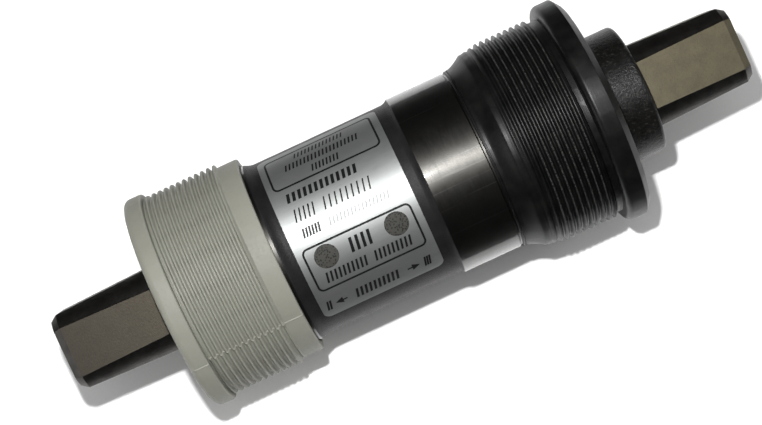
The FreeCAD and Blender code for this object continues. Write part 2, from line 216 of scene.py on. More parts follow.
def thread(start, stop, first_crest, hand, root, profile, envelope, shift=lambda angle: 0):
    """Rows of a helical thread between two places along X.

    The crests pass through first_crest opposite the seam. The envelope gives the largest radius
    along X, so that the thread runs out to nothing at both of its ends.
    """
    turns = math.ceil((stop - start) / PITCH) + 2
    lead = math.ceil((first_crest - start) / PITCH) + 1

    def crest_row(number, share, height):
        def row(angle):
            turned = hand * ((angle - SEAM) / 360 - 0.5)
            along = first_crest + (number + share + turned) * PITCH + shift(angle)
            along = min(max(along, start), stop)
            top = between(along, envelope)
            return along, min(root + height * THREAD_HEIGHT, top)
        return row

    return [crest_row(number, share, height) for number in range(-lead - 1, turns + 1)
            for share, height in profile]


# -------------------------------- materials

class Graph:
    """Node tree of one material, with its coordinates in millimetres."""

    def __init__(self, name, roughness, metallic=0.0, specular=0.5, coat=0.0, coat_roughness=0.1):
        self.material = bpy.data.materials.new(name)
        self.material.use_nodes = True
        self.tree = self.material.node_tree
        self.shader = self.tree.nodes["Principled BSDF"]
        self.shader.inputs["Roughness"].default_value = roughness
        self.shader.inputs["Metallic"].default_value = metallic
        self.shader.inputs["Specular IOR Level"].default_value = specular
        self.shader.inputs["Coat Weight"].default_value = coat
        self.shader.inputs["Coat Roughness"].default_value = coat_roughness
        self.place = self.node("ShaderNodeTexCoord").outputs["Object"]

    def node(self, kind, settings=(), **inputs):
        """A node with its settings, and its inputs set to a value or joined to a socket."""
        made = self.tree.nodes.new(kind)
        for name, value in dict(settings).items():
            setattr(made, name, value)
        for name, value in inputs.items():
            self.feed(made.inputs[name.replace("_", " ")], value)
        return made

    def feed(self, socket, value):
        """Join a socket to an output, or set its value."""
        if isinstance(value, bpy.types.NodeSocket):
            self.tree.links.new(value, socket)
        else:
            socket.default_value = value

    def noise(self, size, stretch=(1, 1, 1), detail=4.0, roughness=0.55):
        """Noise whose spots are about size mm, drawn out by a factor along each axis."""
        scale = tuple(1 / (size * MM * factor) for factor in stretch)
        mapping = self.node("ShaderNodeMapping", Vector=self.place, Scale=scale)
        made = self.node("ShaderNodeTexNoise", Vector=mapping.outputs["Vector"], Scale=1.0,
                         Detail=detail, Roughness=roughness)
        return made.outputs["Fac"]

    def span(self, value, low, high, start=0.0, end=1.0):
        """A value taken from one range to another, and held at its ends."""
        made = self.node("ShaderNodeMapRange", Value=value, From_Min=low, From_Max=high,
                         To_Min=start, To_Max=end)
        return made.outputs["Result"]

    def radius(self, low, high):
        """0 at one radius from the spindle's axis and 1 at another, in mm."""
        flat = self.node("ShaderNodeVectorMath", {"operation": "MULTIPLY"}, Vector=self.place)
        flat.inputs[1].default_value = (0, 1, 1)
        length = self.node("ShaderNodeVectorMath", {"operation": "LENGTH"}, Vector=flat.outputs["Vector"])
        return self.span(length.outputs["Value"], low * MM, high * MM)

    def along(self, low, high):
        """0 at one place along X and 1 at another, in mm."""
        parts = self.node("ShaderNodeSeparateXYZ", Vector=self.place)
        return self.span(parts.outputs["X"], low * MM, high * MM)

    def both(self, operation, first, second):
        """The difference or product of two values, held between 0 and 1."""
        made = self.node("ShaderNodeMath", {"operation": operation, "use_clamp": True})
        self.feed(made.inputs[0], first)
        self.feed(made.inputs[1], second)
        return made.outputs["Value"]

    def colours(self, factor, *stops):
        """A colour ramp of (place, colour) stops."""
        ramp = self.node("ShaderNodeValToRGB", Fac=factor)
        while len(ramp.color_ramp.elements) < len(stops):
            ramp.color_ramp.elements.new(0.5)
        for element, (position, colour) in zip(ramp.color_ramp.elements, stops):
            element.position = position
            element.color = (*colour, 1)
        return ramp.outputs["Color"]

    def mix(self, factor, first, second):
        """One colour turned into another by a factor. The node's inputs 6 and 7 are its colours."""
        made = self.node("ShaderNodeMix", {"data_type": "RGBA"})
        self.feed(made.inputs[0], factor)
        for socket, value in ((made.inputs[6], first), (made.inputs[7], second)):
            self.feed(socket, value if isinstance(value, bpy.types.NodeSocket) else (*value, 1))
        return made.outputs[2]

    def relief(self, *layers):
        """Bumps from (height, depth in mm) layers, one on top of another."""
        normal = None
        for height, depth in layers:
            made = self.node("ShaderNodeBump", Height=height, Distance=depth * MM, Strength=1.0)
            if normal:
                self.feed(made.inputs["Normal"], normal)
            normal = made.outputs["Normal"]
        self.feed(self.shader.inputs["Normal"], normal)

    def finish(self, colour, roughness=None):
        """The material, with its colour and any varying roughness joined up."""
        self.feed(self.shader.inputs["Base Color"], colour)
        if roughness:
            self.feed(self.shader.inputs["Roughness"], roughness)
        return self.material


AROUND = (1, 40, 40)             # streaks that run round the spindle
LENGTHWAYS = (40, 1, 1)          # streaks that run along it


def black_cup():
    """Black oxide over turned steel, worn a little on the crests."""
    graph = Graph("black_cup", roughness=0.38, specular=0.20)
    patches = graph.noise(2.5)
    grain = graph.noise(0.22)
    turned = graph.noise(0.10, AROUND)
    base = graph.colours(patches, (0.35, (0.0022, 0.0022, 0.0024)), (0.7, (0.0050, 0.0049, 0.0046)))
    crest = graph.both("SUBTRACT", graph.radius(17.25, 17.40), graph.radius(17.45, 17.55))
    worn = graph.both("MULTIPLY", crest, graph.span(grain, 0.4, 0.75))
    colour = graph.mix(worn, base, (0.060, 0.059, 0.056))
    graph.relief((grain, 0.007), (turned, 0.010))
    return graph.finish(colour, graph.span(patches, 0.3, 0.75, 0.33, 0.45))


def grey_plastic():
    """Moulded warm grey nylon: matt, faintly mottled, with a fine grain."""
    graph = Graph("grey_plastic", roughness=0.55, specular=0.35)
    patches = graph.noise(6.0)
    flecks = graph.noise(0.35, detail=6.0)
    grain = graph.noise(0.08)
    base = graph.colours(patches, (0.3, (0.180, 0.180, 0.151)), (0.75, (0.197, 0.197, 0.167)))
    fleck = graph.span(flecks, 0.60, 0.74, 0.0, 0.35)
    colour = graph.mix(fleck, base, (0.140, 0.139, 0.115))
    graph.relief((flecks, 0.012), (grain, 0.005))
    return graph.finish(colour, graph.span(flecks, 0.3, 0.7, 0.48, 0.62))


def dark_tube():
    """Drawn tube with a rough black phosphate finish that sparkles a little."""
    graph = Graph("dark_tube", roughness=0.48, specular=0.18)
    patches = graph.noise(3.0)
    drawn = graph.noise(0.07, AROUND, detail=3.0)
    grain = graph.noise(0.30, detail=5.0, roughness=0.7)
    colour = graph.colours(patches, (0.3, (0.0065, 0.006, 0.0065)), (0.75, (0.0115, 0.011, 0.011)))
    graph.relief((drawn, 0.004), (grain, 0.045))
    return graph.finish(colour, graph.span(grain, 0.3, 0.7, 0.40, 0.55))


def ground_band():
    """Dark steel ground smooth: a sharp highlight over a soft one, with fine grinding marks."""
    graph = Graph("ground_band", roughness=0.34, metallic=1.0, coat=0.8, coat_roughness=0.075)
    patches = graph.noise(4.0)
    ground = graph.noise(0.045, AROUND, detail=2.0)
    rubbed = graph.noise(0.5, LENGTHWAYS)
    base = graph.colours(patches, (0.3, (0.032, 0.031, 0.029)), (0.8, (0.050, 0.049, 0.045)))
    colour = graph.mix(graph.span(rubbed, 0.62, 0.75, 0.0, 0.5), base, (0.12, 0.115, 0.11))
    graph.relief((ground, 0.0018))
    return graph.finish(colour, graph.span(ground, 0.3, 0.7, 0.30, 0.40))


def forged_collar():
    """Scaled black steel as it leaves the forge: rough, with light specks of painted glint in its colour."""
    graph = Graph("forged_collar", roughness=0.30, specular=0.24)
    patches = graph.noise(1.8)
    grain = graph.noise(0.50, detail=5.0, roughness=0.75)
    base = graph.colours(patches, (0.3, (0.0022, 0.0021, 0.0020)), (0.7, (0.0055, 0.0052, 0.0048)))
    # The specks are painted glints: lighter flecks in the colour stand in for the sparkle of the scale.
    painted_glint = graph.span(graph.noise(0.40, detail=3.0, roughness=0.7), 0.56, 0.68)
    colour = graph.mix(painted_glint, base, (0.028, 0.028, 0.025))
    graph.relief((grain, 0.110))
    return graph.finish(colour, graph.span(grain, 0.3, 0.7, 0.25, 0.38))


def taper_flats():
    """Machined flats, heat-browned: lighter and more olive towards the drive side."""
    graph = Graph("taper_flats", roughness=0.52, metallic=1.0)
    grain = graph.noise(0.35, detail=5.0, roughness=0.7)
    milled = graph.noise(0.12, LENGTHWAYS, detail=3.0)
    patches = graph.noise(2.2)
    low, high = sides("spindle")
    tone = graph.along(low, high)
    base = graph.mix(tone, (0.060, 0.054, 0.044), (0.125, 0.111, 0.076))
    stain = graph.mix(graph.span(patches, 0.35, 0.75, 0.0, 0.30), base, (0.045, 0.036, 0.032))
    colour = graph.mix(graph.span(grain, 0.55, 0.8, 0.0, 0.35), stain, (0.04, 0.036, 0.032))
    graph.relief((grain, 0.022), (milled, 0.004))
    return graph.finish(colour, graph.span(grain, 0.3, 0.7, 0.46, 0.60))


def taper_corners():
    """Turned corners and ends of the tapers: heat-darkened, a little rough."""
    graph = Graph("taper_corners", roughness=0.38, metallic=1.0)
    grain = graph.noise(0.25, detail=5.0)
    turned = graph.noise(0.08, AROUND)
    colour = graph.colours(graph.noise(2.0), (0.3, (0.048, 0.046, 0.043)), (0.75, (0.084, 0.081, 0.076)))
    graph.relief((grain, 0.012), (turned, 0.006))
    return graph.finish(colour, graph.span(grain, 0.3, 0.7, 0.32, 0.46))


def ground_seat():
    """Bright ground steel of the bearing seats and the threads inside the bolt holes."""
    graph = Graph("ground_seat", roughness=0.26, metallic=1.0)
    ground = graph.noise(0.05, AROUND, detail=2.0)
    colour = graph.colours(graph.noise(3.0), (0.3, (0.20, 0.19, 0.17)), (0.75, (0.32, 0.31, 0.28)))
    graph.relief((ground, 0.002))
    return graph.finish(colour, graph.span(ground, 0.3, 0.7, 0.20, 0.32))


def silver_foil():
    """Printed foil: satin silver, with a very fine brushed grain and a few scuffs."""
    graph = Graph("silver_foil", roughness=0.48, metallic=0.86)
    brushed = graph.noise(0.10, LENGTHWAYS, detail=3.0)
    patches = graph.noise(5.0)
    base = graph.colours(patches, (0.3, (0.262, 0.272, 0.268)), (0.75, (0.308, 0.318, 0.312)))
    scuff = graph.span(graph.noise(0.4, (1, 6, 6)), 0.66, 0.78, 0.0, 0.5)
    colour = graph.mix(scuff, base, (0.24, 0.245, 0.245))
    graph.relief((brushed, 0.0012), (patches, 0.02))
    return graph.finish(colour, graph.span(brushed, 0.3, 0.7, 0.45, 0.54))


def black_ink():
    """Black print, a little broken where it was pressed on the foil."""
    graph = Graph("black_ink", roughness=0.50, specular=0.12)
    pores = graph.span(graph.noise(0.12, detail=3.0), 0.62, 0.72, 0.0, 0.3)
    colour = graph.mix(pores, (0.006, 0.006, 0.0065), (0.06, 0.06, 0.06))
    graph.relief((graph.noise(0.1), 0.002))
    return graph.finish(colour, graph.span(pores, 0.0, 1.0, 0.42, 0.55))


def grey_ink():
    """Half-tone print of the label's round spots: a coarse grey screen."""
    graph = Graph("grey_ink", roughness=0.5, specular=0.2)
    cells = graph.node("ShaderNodeTexVoronoi", Vector=graph.place, Scale=1 / (0.32 * MM))
    dot = graph.span(cells.outputs["Distance"], 0.25, 0.5)
    colour = graph.mix(dot, (0.010, 0.010, 0.009), (0.042, 0.041, 0.037))
    graph.relief((dot, 0.003))
    return graph.finish(colour, graph.span(dot, 0.0, 1.0, 0.45, 0.55))


def faded_ink():
    """Light grey print."""
    graph = Graph("faded_ink", roughness=0.5, specular=0.2, metallic=0.6)
    pores = graph.span(graph.noise(0.10, detail=3.0), 0.45, 0.65)
    colour = graph.mix(pores, (0.11, 0.112, 0.115), (0.20, 0.205, 0.21))
    graph.relief((pores, 0.002))
    return graph.finish(colour, graph.span(pores, 0.0, 1.0, 0.45, 0.55))


def seal_rubber():
    """Moulded black rubber with a matt bloom."""
    graph = Graph("seal_rubber", roughness=0.62, specular=0.35)
    bloom = graph.noise(1.2)
    grain = graph.noise(0.07)
    colour = graph.colours(bloom, (0.3, (0.012, 0.012, 0.012)), (0.8, (0.028, 0.027, 0.026)))
    graph.relief((grain, 0.006))
    return graph.finish(colour, graph.span(bloom, 0.3, 0.7, 0.55, 0.72))


def bearing_steel():
    """Ground and polished bearing steel."""
    graph = Graph("bearing_steel", roughness=0.16, metallic=1.0)
    ground = graph.noise(0.05, AROUND, detail=2.0)
    colour = graph.colours(graph.noise(2.0), (0.3, (0.52, 0.52, 0.52)), (0.75, (0.62, 0.62, 0.61)))
    graph.relief((ground, 0.0012))
    return graph.finish(colour, graph.span(ground, 0.3, 0.7, 0.12, 0.22))


def cage_steel():
    """Pressed steel strip of the ball cages, with a thin film of grease."""
    graph = Graph("cage_steel", roughness=0.34, metallic=1.0, coat=0.4, coat_roughness=0.25)
    pressed = graph.noise(0.3)
    colour = graph.colours(pressed, (0.3, (0.33, 0.31, 0.27)), (0.75, (0.45, 0.43, 0.38)))
    graph.relief((pressed, 0.006))
    return graph.finish(colour, graph.span(pressed, 0.3, 0.7, 0.28, 0.42))


def turned_aluminium():
    """Spacer tube, turned all over."""
    graph = Graph("turned_aluminium", roughness=0.32, metallic=1.0)
    turned = graph.noise(0.09, AROUND, detail=2.0)
    colour = graph.colours(graph.noise(3.0), (0.3, (0.55, 0.55, 0.56)), (0.75, (0.64, 0.64, 0.64)))
    graph.relief((turned, 0.006))
    return graph.finish(colour, graph.span(turned, 0.3, 0.7, 0.26, 0.40))


def spring_steel():
    """Oiled dark spring steel of the retaining ring."""
    graph = Graph("spring_steel", roughness=0.36, metallic=1.0)
    grain = graph.noise(0.2)
    colour = graph.colours(grain, (0.3, (0.085, 0.080, 0.072)), (0.75, (0.15, 0.14, 0.13)))
    graph.relief((grain, 0.004))
    return graph.finish(colour, graph.span(grain, 0.3, 0.7, 0.30, 0.44))


# -------------------------------- threaded cup and adapter

def slot_angles(tip, root):
    """Half the angle of a tool slot at the splines' tips and at its bottom."""
    slot_tip, slot_root = 1.2, 0.96
    return math.degrees(slot_tip / tip), math.degrees(slot_root / root)


def socket_rows(mouth, bottom, rim, lip, tip, root, root_half):
    """Rows of a tool socket from its mouth in to the ring at its bottom."""
    inwards = math.copysign(1, bottom - mouth)
    lead_in, tip_easing = 0.35, 0.05
    rows = plain((mouth, rim), (mouth, root + lead_in))
    rows += splined(mouth + inwards * lead_in, tip + tip_easing, root, root_half)
    rows += splined(mouth + inwards * lead_in * 2, tip, root, root_half)
    rows += splined(bottom, tip, root, root_half)
    rows += plain((bottom, lip))
    return rows


def make_cup():
    """Drive-side cup: rolled nose, flare, left-hand thread, bevelled flange, tool socket."""
    nose, face = sides("drive_side_cup")
    middle, half, crest = mount("drive_cup_thread")
    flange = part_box("drive_side_cup")[1].z / MM
    seat_face = reach("drive_side_cup", crest + 0.2, flange + 0.1)[0]
    shell_end = sides("cartridge_shell")[1]
    seat = radii("cartridge_shell", nose + 10, shell_end - 0.1)[1]
    slot_depth, lip_height, lip_width = 0.85, 0.6, 1.0
    tip, root, lip = seat, seat + slot_depth, seat - lip_height
    tip_half, root_half = slot_angles(tip, root)
    land = crest - THREAD_HEIGHT
    flare_end, thread_stop = nose + 3.35, middle + half
    thread_start, run_in, run_out = flare_end + 0.4, 3.0, 0.5
    envelope = ((thread_start, land), (thread_start + run_in, crest),
                (thread_stop - run_out, crest), (thread_stop, land))
    rows = plain((nose, seat), (nose, seat + 0.25))
    rows += arc(nose + 0.15, seat + 0.27, 0.15, 180, 90)
    rows += plain((nose + 0.26, seat + 0.40), (nose + 0.30, seat + 0.15), (nose + 0.44, seat + 0.15))
    rows += plain((nose + 0.48, seat + 0.42), (nose + 0.9, seat + 0.45))
    rows += bow((nose + 1.0, seat + 0.47), (flare_end - 0.1, land - 0.05), 0.10)
    rows += plain((flare_end + 0.05, land))
    rows += thread(thread_start, thread_stop, middle, -1, land, CUT_THREAD, envelope)
    rows += plain((thread_stop + 0.1, land), (seat_face - 0.15, land))
    rows += arc(seat_face - 0.15, land + 0.15, 0.15, 270, 360, 2)
    rounding, bevel_width, bevel_depth = 1.05, 1.05, 1.4
    rows += arc(seat_face + rounding, flange - rounding, rounding, 180, 90, 6)
    rows += bevelled_edge(face, flange, bevel_width, bevel_depth)
    mouth_rim = flange - bevel_depth - 0.1
    rows += socket_rows(face, shell_end + lip_width, mouth_rim, lip, tip, root, root_half)
    rows += plain((shell_end, lip), (shell_end, seat))
    mesh = lathe(rows, spline_columns(tip_half, root_half))
    piece = finish_piece(mesh, "threaded_cup", "cartridge", black_cup())
    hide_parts("drive_side_cup")


def make_adapter():
    """Left adapter: moulded right-hand thread with a parting line, rounded rim, tool socket."""
    face, inner_end = sides("left_adapter")
    middle, half, crest = mount("left_adapter_thread")
    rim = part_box("left_adapter")[1].z / MM
    rim_width, rounding, socket_depth = 3.15, 1.1, 9.75
    rim_inside = face + rim_width
    land = crest - THREAD_HEIGHT - 0.05
    bore = radii("left_adapter", inner_end - 2, inner_end + 0.1)[0]
    tip, root, lip = 15.0, 15.85, 14.4
    lip_face = face + 10.72      # just clear of the shell at home
    tip_half, root_half = slot_angles(tip, root)
    past_crests, run_in, run_out = 0.35, 0.4, 0.5
    start, stop = middle - half - past_crests, middle + half + past_crests
    envelope = ((start, land), (start + run_in, crest), (stop - run_out, crest), (stop, land))
    partings = (144.0, 324.0)
    flash_half, flash_height, step = 0.4, 0.13, 0.22

    def shift(angle):
        """The two halves of the mould met a little out of step."""
        return between(angle, ((partings[0] - flash_half, -step / 2), (partings[0] + flash_half, step / 2),
                               (partings[1] - flash_half, step / 2), (partings[1] + flash_half, -step / 2)))

    def flashed(row):
        """A row with the parting line's small ridge on it."""
        def raised(angle):
            along, radius = row(angle)
            return along, radius + (flash_height if angle in partings else 0)
        return raised

    outside = plain((inner_end, bore + 0.9), (inner_end, land - 0.25))
    outside += arc(inner_end - 0.25, land - 0.25, 0.25, 0, 90)
    outside += plain((stop + 0.2, land))
    turned = thread(start, stop, middle, 1, land, MOULDED_THREAD, envelope, shift)
    outside += turned[::-1]
    outside += plain((start - 0.05, land))
    outside += arc(rim_inside + 0.12, land + 0.12, 0.12, 270, 180, 2)
    outside += arc(rim_inside - 0.3, rim - 0.3, 0.3, 0, 90, 3)
    outside += arc(face + rounding, rim - rounding, rounding, 90, 180, 6)
    rows = plain((inner_end, bore + 0.3)) + [flashed(row) for row in outside]
    rows += socket_rows(face, face + socket_depth, rim - rounding - 0.1, lip, tip, root, root_half)
    rows += plain((lip_face, lip), (lip_face, bore), (inner_end - 0.3, bore))
    flash = [parting + side for parting in partings for side in (-flash_half, flash_half)]
    mesh = lathe(rows, spline_columns(tip_half, root_half, flash))
    piece = finish_piece(mesh, "grey_adapter", "left_adapter", grey_plastic())
    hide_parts("left_adapter")


# -------------------------------- cartridge

def evenly(count):
    """Angles of a full turn, the first and the last the same place."""
    return [SEAM + 360 * step / count for step in range(count + 1)]


def make_shell():
    """Cartridge shell: ground journals and band, and a dark drawn tube between them."""
    left, right = sides("cartridge_shell")
    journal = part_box("cartridge_shell")[1].z / MM
    label_left, label_right = sides("label_plate")
    cup_nose = sides("drive_side_cup")[0]
    tube = radii("label_plate", label_left - 1, label_right + 1)[0]
    seat = radii("cartridge_shell", cup_nose + 10, right - 0.1)[1]
    bore = radii("cartridge_shell", left, right)[0]
    bearing = radii("right_bearing_outer_race", 0, right)[1]
    shoulder = sides("right_bearing_outer_race")[0]
    band_start, band_end = label_right + 2.6, cup_nose - 0.25
    bevel, rise = 0.3, 1.15
    drawn_start = label_left - 5     # hidden under the adapter
    rows = plain((left, bearing), (left, journal - bevel), (left + bevel, journal))
    rows += plain((label_left - 2.2, journal))
    rows += bow((label_left - 2.0, journal - 0.03), (label_left - 0.7, tube + 0.02), 0.08, 4)
    rows += plain((label_left - 0.5, tube), (band_start - rise, tube))
    rows += bow((band_start - rise + 0.1, tube + 0.02), (band_start - 0.1, journal - 0.04), 0.06, 4)
    rows += plain((band_start, journal), (band_end - 0.2, journal), (band_end, journal - 0.15))
    rows += plain((band_end, seat), (right - bevel, seat), (right, seat - bevel), (right, bearing))
    rows += plain((shoulder, bearing), (shoulder, bore), (-shoulder, bore), (-shoulder, bearing))
    piece = finish_piece(lathe(rows, evenly(160)), "cartridge_tube", "cartridge",
                         dark_tube(), crease=28)
    piece.data.materials.append(ground_band())
    for face in piece.data.polygons:
        drawn = drawn_start < face.center.x / MM < band_start - 0.1
        face.material_index = 0 if drawn else 1
    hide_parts("cartridge_shell")


def make_dust_seal(side):
    """Dust seal at one end of the shell: a stiffened ring with a sprung lip at its bore."""
    node = f"{side}_dust_seal"
    low, high = sides(node)
    inner, outer = radii(node, low - 1, high + 1)
    outside, inside = (high, low) if side == "right" else (low, high)
    out = math.copysign(1, outside - inside)
    rows = plain((inside, inner + 0.5), (inside, outer), (outside, outer))
    rows += plain((outside, outer - 0.5), (outside - out * 0.25, outer - 0.7))
    rows += plain((outside - out * 0.25, inner + 1.1))
    rows += plain((outside - out * 0.05, inner + 0.8), (outside, inner + 0.45))
    rows += plain((outside - out * 0.1, inner + 0.1), (outside - out * 0.35, inner))
    rows += plain((outside - out * 0.7, inner + 0.15), (outside - out, inner + 0.35))
    piece = finish_piece(lathe(rows, evenly(96)), f"{side}_lip_seal", "cartridge",
                         seal_rubber())
    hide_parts(node)


# -------------------------------- spindle

QUARTER = 8                      # columns across a flat, and as many round a corner
TAPER_LENGTH = 22                # of the flats at the left end
SPINDLE_TURN = 20.2              # how far the flats are turned from straight up, in degrees
COLLAR_EDGE = 0.5                # bevel of the CAD collar, beyond the last of its full radius
DRILL_POINT = 2.3                # length of the cone at the bottom of a bolt hole


def square_ring(along, flat, corner, turn):
    """A ring of a shaft with four flats and round corners. flat is half the width across flats."""
    half = math.degrees(math.acos(min(flat / corner, 1)))
    points = []
    for side in range(4):
        middle = turn + 90 * side
        for step in range(QUARTER):
            angle = -half + 2 * half * step / QUARTER
            radius = flat / math.cos(math.radians(angle)) if half else corner
            points.append(place(along, radius, middle + angle))
        for step in range(QUARTER):
            angle = half + (90 - 2 * half) * step / QUARTER
            points.append(place(along, corner, middle + angle))
    return points + points[:1]


def round_angles(turn):
    """Angles of the columns of a round ring, spread evenly."""
    step = 45 / QUARTER
    return [turn + (index - QUARTER / 2) * step for index in range(QUARTER * 8 + 1)]


def round_ring(along, radius, turn):
    """A round ring of a shaft, with as many points as a square one."""
    return [place(along, radius, angle) for angle in round_angles(turn)]


def bolt_thread_rings(mouth, bottom, wide, turn):
    """Rings of the right-hand thread inside a bolt hole, from its mouth to its bottom."""
    pitch, height, countersink, run_out = 1.0, 0.54, 0.8, 0.6
    profile = ((0, 0), (0.12, 0), (0.44, 1), (0.56, 1), (0.88, 0))
    inwards = math.copysign(1, bottom - mouth)
    count = int(abs(bottom - mouth) / pitch) - 2
    rings = []
    for number in range(-1, count + 2):
        for share, rise in profile:
            ring = []
            for index, angle in enumerate(round_angles(turn)):
                around = index / (QUARTER * 8)
                depth = min(max((number + share + inwards * around) * pitch, 0), count * pitch)
                fade = min(depth, count * pitch - depth, run_out) / run_out
                along = mouth + inwards * (depth + countersink)
                ring.append(place(along, wide - height * rise * fade, angle))
            rings.append(ring)
    return rings


def taper_rings(end, root_at, turn):
    """Rings of one tapered end, from its bevelled end face to where its flats stop."""
    out = math.copysign(1, end - root_at)
    length = abs(end - root_at)
    flat_end, flat_rise, corner_end, corner_root = 6.3, 0.77, 7.6, 7.95
    flat_slope = flat_rise / TAPER_LENGTH
    bevel_length, bevel_depth = 1.2, 0.8
    depths = [bevel_length * share for share in (0.0, 0.1, 0.5, 0.92, 1.0, 1.12)]
    depths += [bevel_length + (length - bevel_length) * step / 8 for step in range(1, 9)]
    rings = []
    for depth in depths:
        past = max(depth - bevel_length, 0) / (length - bevel_length)
        cut = bevel_depth * max(1 - depth / bevel_length, 0)
        flat = flat_end + flat_slope * depth - cut
        corner = corner_end + (corner_root - corner_end) * past - cut
        rings.append(square_ring(end - out * depth, flat, corner, turn))
    return rings


def make_spindle():
    """Square-taper spindle: threaded bolt holes, bevelled tapers, ground seats, forged collar."""
    left, right = sides("spindle")
    hole_middle, hole_half, hole = mount("crank_bolt_hole_right")
    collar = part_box("spindle")[1].z / MM
    collar_low, collar_face = reach("spindle", collar - 0.1, collar + 0.1)
    collar_face += COLLAR_EDGE
    seat = radii("right_bearing_inner_race", 0, right)[0]
    stand = sides("right_bearing_inner_race")[1]
    clip_low, clip_high = sides("left_retaining_ring")
    turn = 90 + SPINDLE_TURN
    taper_stop = left + TAPER_LENGTH

    def hole_rings(end, bottom, out):
        """Rings of a bolt hole, from the bevel at its mouth to its drilled point."""
        bevel_width, bevel_length = 0.9, 0.7
        rings = [round_ring(end, hole + bevel_width, turn)]
        rings += [round_ring(end - out * bevel_length, hole + 0.05, turn)]
        rings += bolt_thread_rings(end, bottom, hole, turn)
        rings += [round_ring(bottom, hole, turn), round_ring(bottom - out * DRILL_POINT, 0, turn)]
        return rings

    def rounded(places):
        return [round_ring(along, radius, turn) for along, radius in places]

    fading_flat, fading_corner = 7.55, 7.97
    groove_low, groove_high, groove = clip_low - 0.05, clip_high + 0.05, seat - 0.5
    shoulder, edge = seat + 1.4, 0.2
    rings = hole_rings(left, -hole_middle + hole_half, -1)[::-1]
    rings += taper_rings(left, taper_stop, turn)
    rings += [square_ring(taper_stop + 0.5, fading_flat, fading_corner, turn)]
    rings += rounded([(taper_stop + 1.0, seat), (groove_low, seat), (groove_low, groove),
                      (groove_high, groove), (groove_high, seat), (stand, seat), (stand, shoulder),
                      (collar_low, shoulder), (collar_low, collar - edge), (collar_low + edge, collar),
                      (collar_face - 5.2, collar)])
    bevel = 0.7
    for step in range(6):
        lean = math.radians(18 * step)
        rings.append(round_ring(collar_face - bevel + bevel * math.sin(lean),
                                collar - bevel + bevel * math.cos(lean), turn))
    rings += taper_rings(right, collar_face, turn)[::-1]
    rings += hole_rings(right, hole_middle - hole_half, 1)
    piece = finish_piece(skin(rings, closed=False), "taper_spindle", "spindle",
                         taper_corners(), crease=24)
    for material in (taper_flats(), forged_collar(), ground_seat()):
        piece.data.materials.append(material)
    for face in piece.data.polygons:
        face.material_index = spindle_finish(face, turn, taper_stop, collar_low, collar_face, hole)
    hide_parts("spindle")


def spindle_finish(face, turn, taper_stop, collar_low, collar_face, hole):
    """Material of a spindle face: 0 corners and ends, 1 flats, 2 collar, 3 ground seats and holes."""
    x, y, z = face.center / MM
    radius = math.hypot(y, z)
    if radius < hole + 0.1:
        return 3
    if collar_low - 1 < x <= collar_face + 0.01:
        return 2
    if taper_stop + 0.2 < x < collar_low:
        return 3
    lean = (math.degrees(math.atan2(face.normal.z, face.normal.y)) - turn + 45) % 90 - 45
    steepest = 0.7 if x > collar_face else 0.2       # the drive end is machined bevel and all
    flat = abs(lean) < 0.5 and abs(face.normal.x) < steepest
    return 1 if flat else 0


# -------------------------------- label

def label_frame():
    """Left edge, middle angle, angle spanned, and inner and outer radius of the label's CAD node."""
    places, distances, angles = zip(*node_points("label_plate"))
    first, last = min(angles), max(angles)
    return min(places), (first + last) / 2, last - first, min(distances), max(distances)


def rounded_box(left, low, right, high, corner, steps=4):
    """Outline of a rectangle with round corners."""
    outline = []
    middles = ((right - corner, high - corner, 0), (left + corner, high - corner, 90),
               (left + corner, low + corner, 180), (right - corner, low + corner, 270))
    for across, up, first in middles:
        for step in range(steps + 1):
            turn = math.radians(first + 90 * step / steps)
            outline.append((across + corner * math.cos(turn), up + corner * math.sin(turn)))
    return outline


def box_line(left, low, right, high, corner, width):
    """A printed line round a box, as quads between its two outlines."""
    outer = rounded_box(left, low, right, high, corner)
    inner = rounded_box(left + width, low + width, right - width, high - width, corner - width)
    ahead = range(1, len(outer) + 1)
    return [[outer[i - 1], outer[i % len(outer)], inner[i % len(inner)], inner[i - 1]] for i in ahead]


def hatching(left, right, low, high, count, stroke=0.24, lean=0.3):
    """A row of thin slanted strokes in place of a line of type."""
    step = (right - left - stroke - lean) / (count - 1)
    starts = [left + step * number for number in range(count)]
    return [[(start, low), (start + stroke, low), (start + stroke + lean, high), (start + lean, high)]
            for start in starts]


def arrow(tail, tip, up, thickness):
    """An arrow along the label: a head and a shaft that share the two points of its neck."""
    out = math.copysign(1, tip - tail)
    head_length, wide = 1.3, 0.65
    neck = tip - out * head_length
    head = [(tip, up), (neck, up + wide), (neck, up + thickness), (neck, up - thickness), (neck, up - wide)]
    shaft = [(neck, up + thickness), (tail, up + thickness), (tail, up - thickness), (neck, up - thickness)]
    return [head, shaft]


def disc(across, up, radius):
    """Outline of a round spot."""
    points = 24
    turns = [2 * math.pi * step / points for step in range(points)]
    return [[(across + radius * math.cos(turn), up + radius * math.sin(turn)) for turn in turns]]


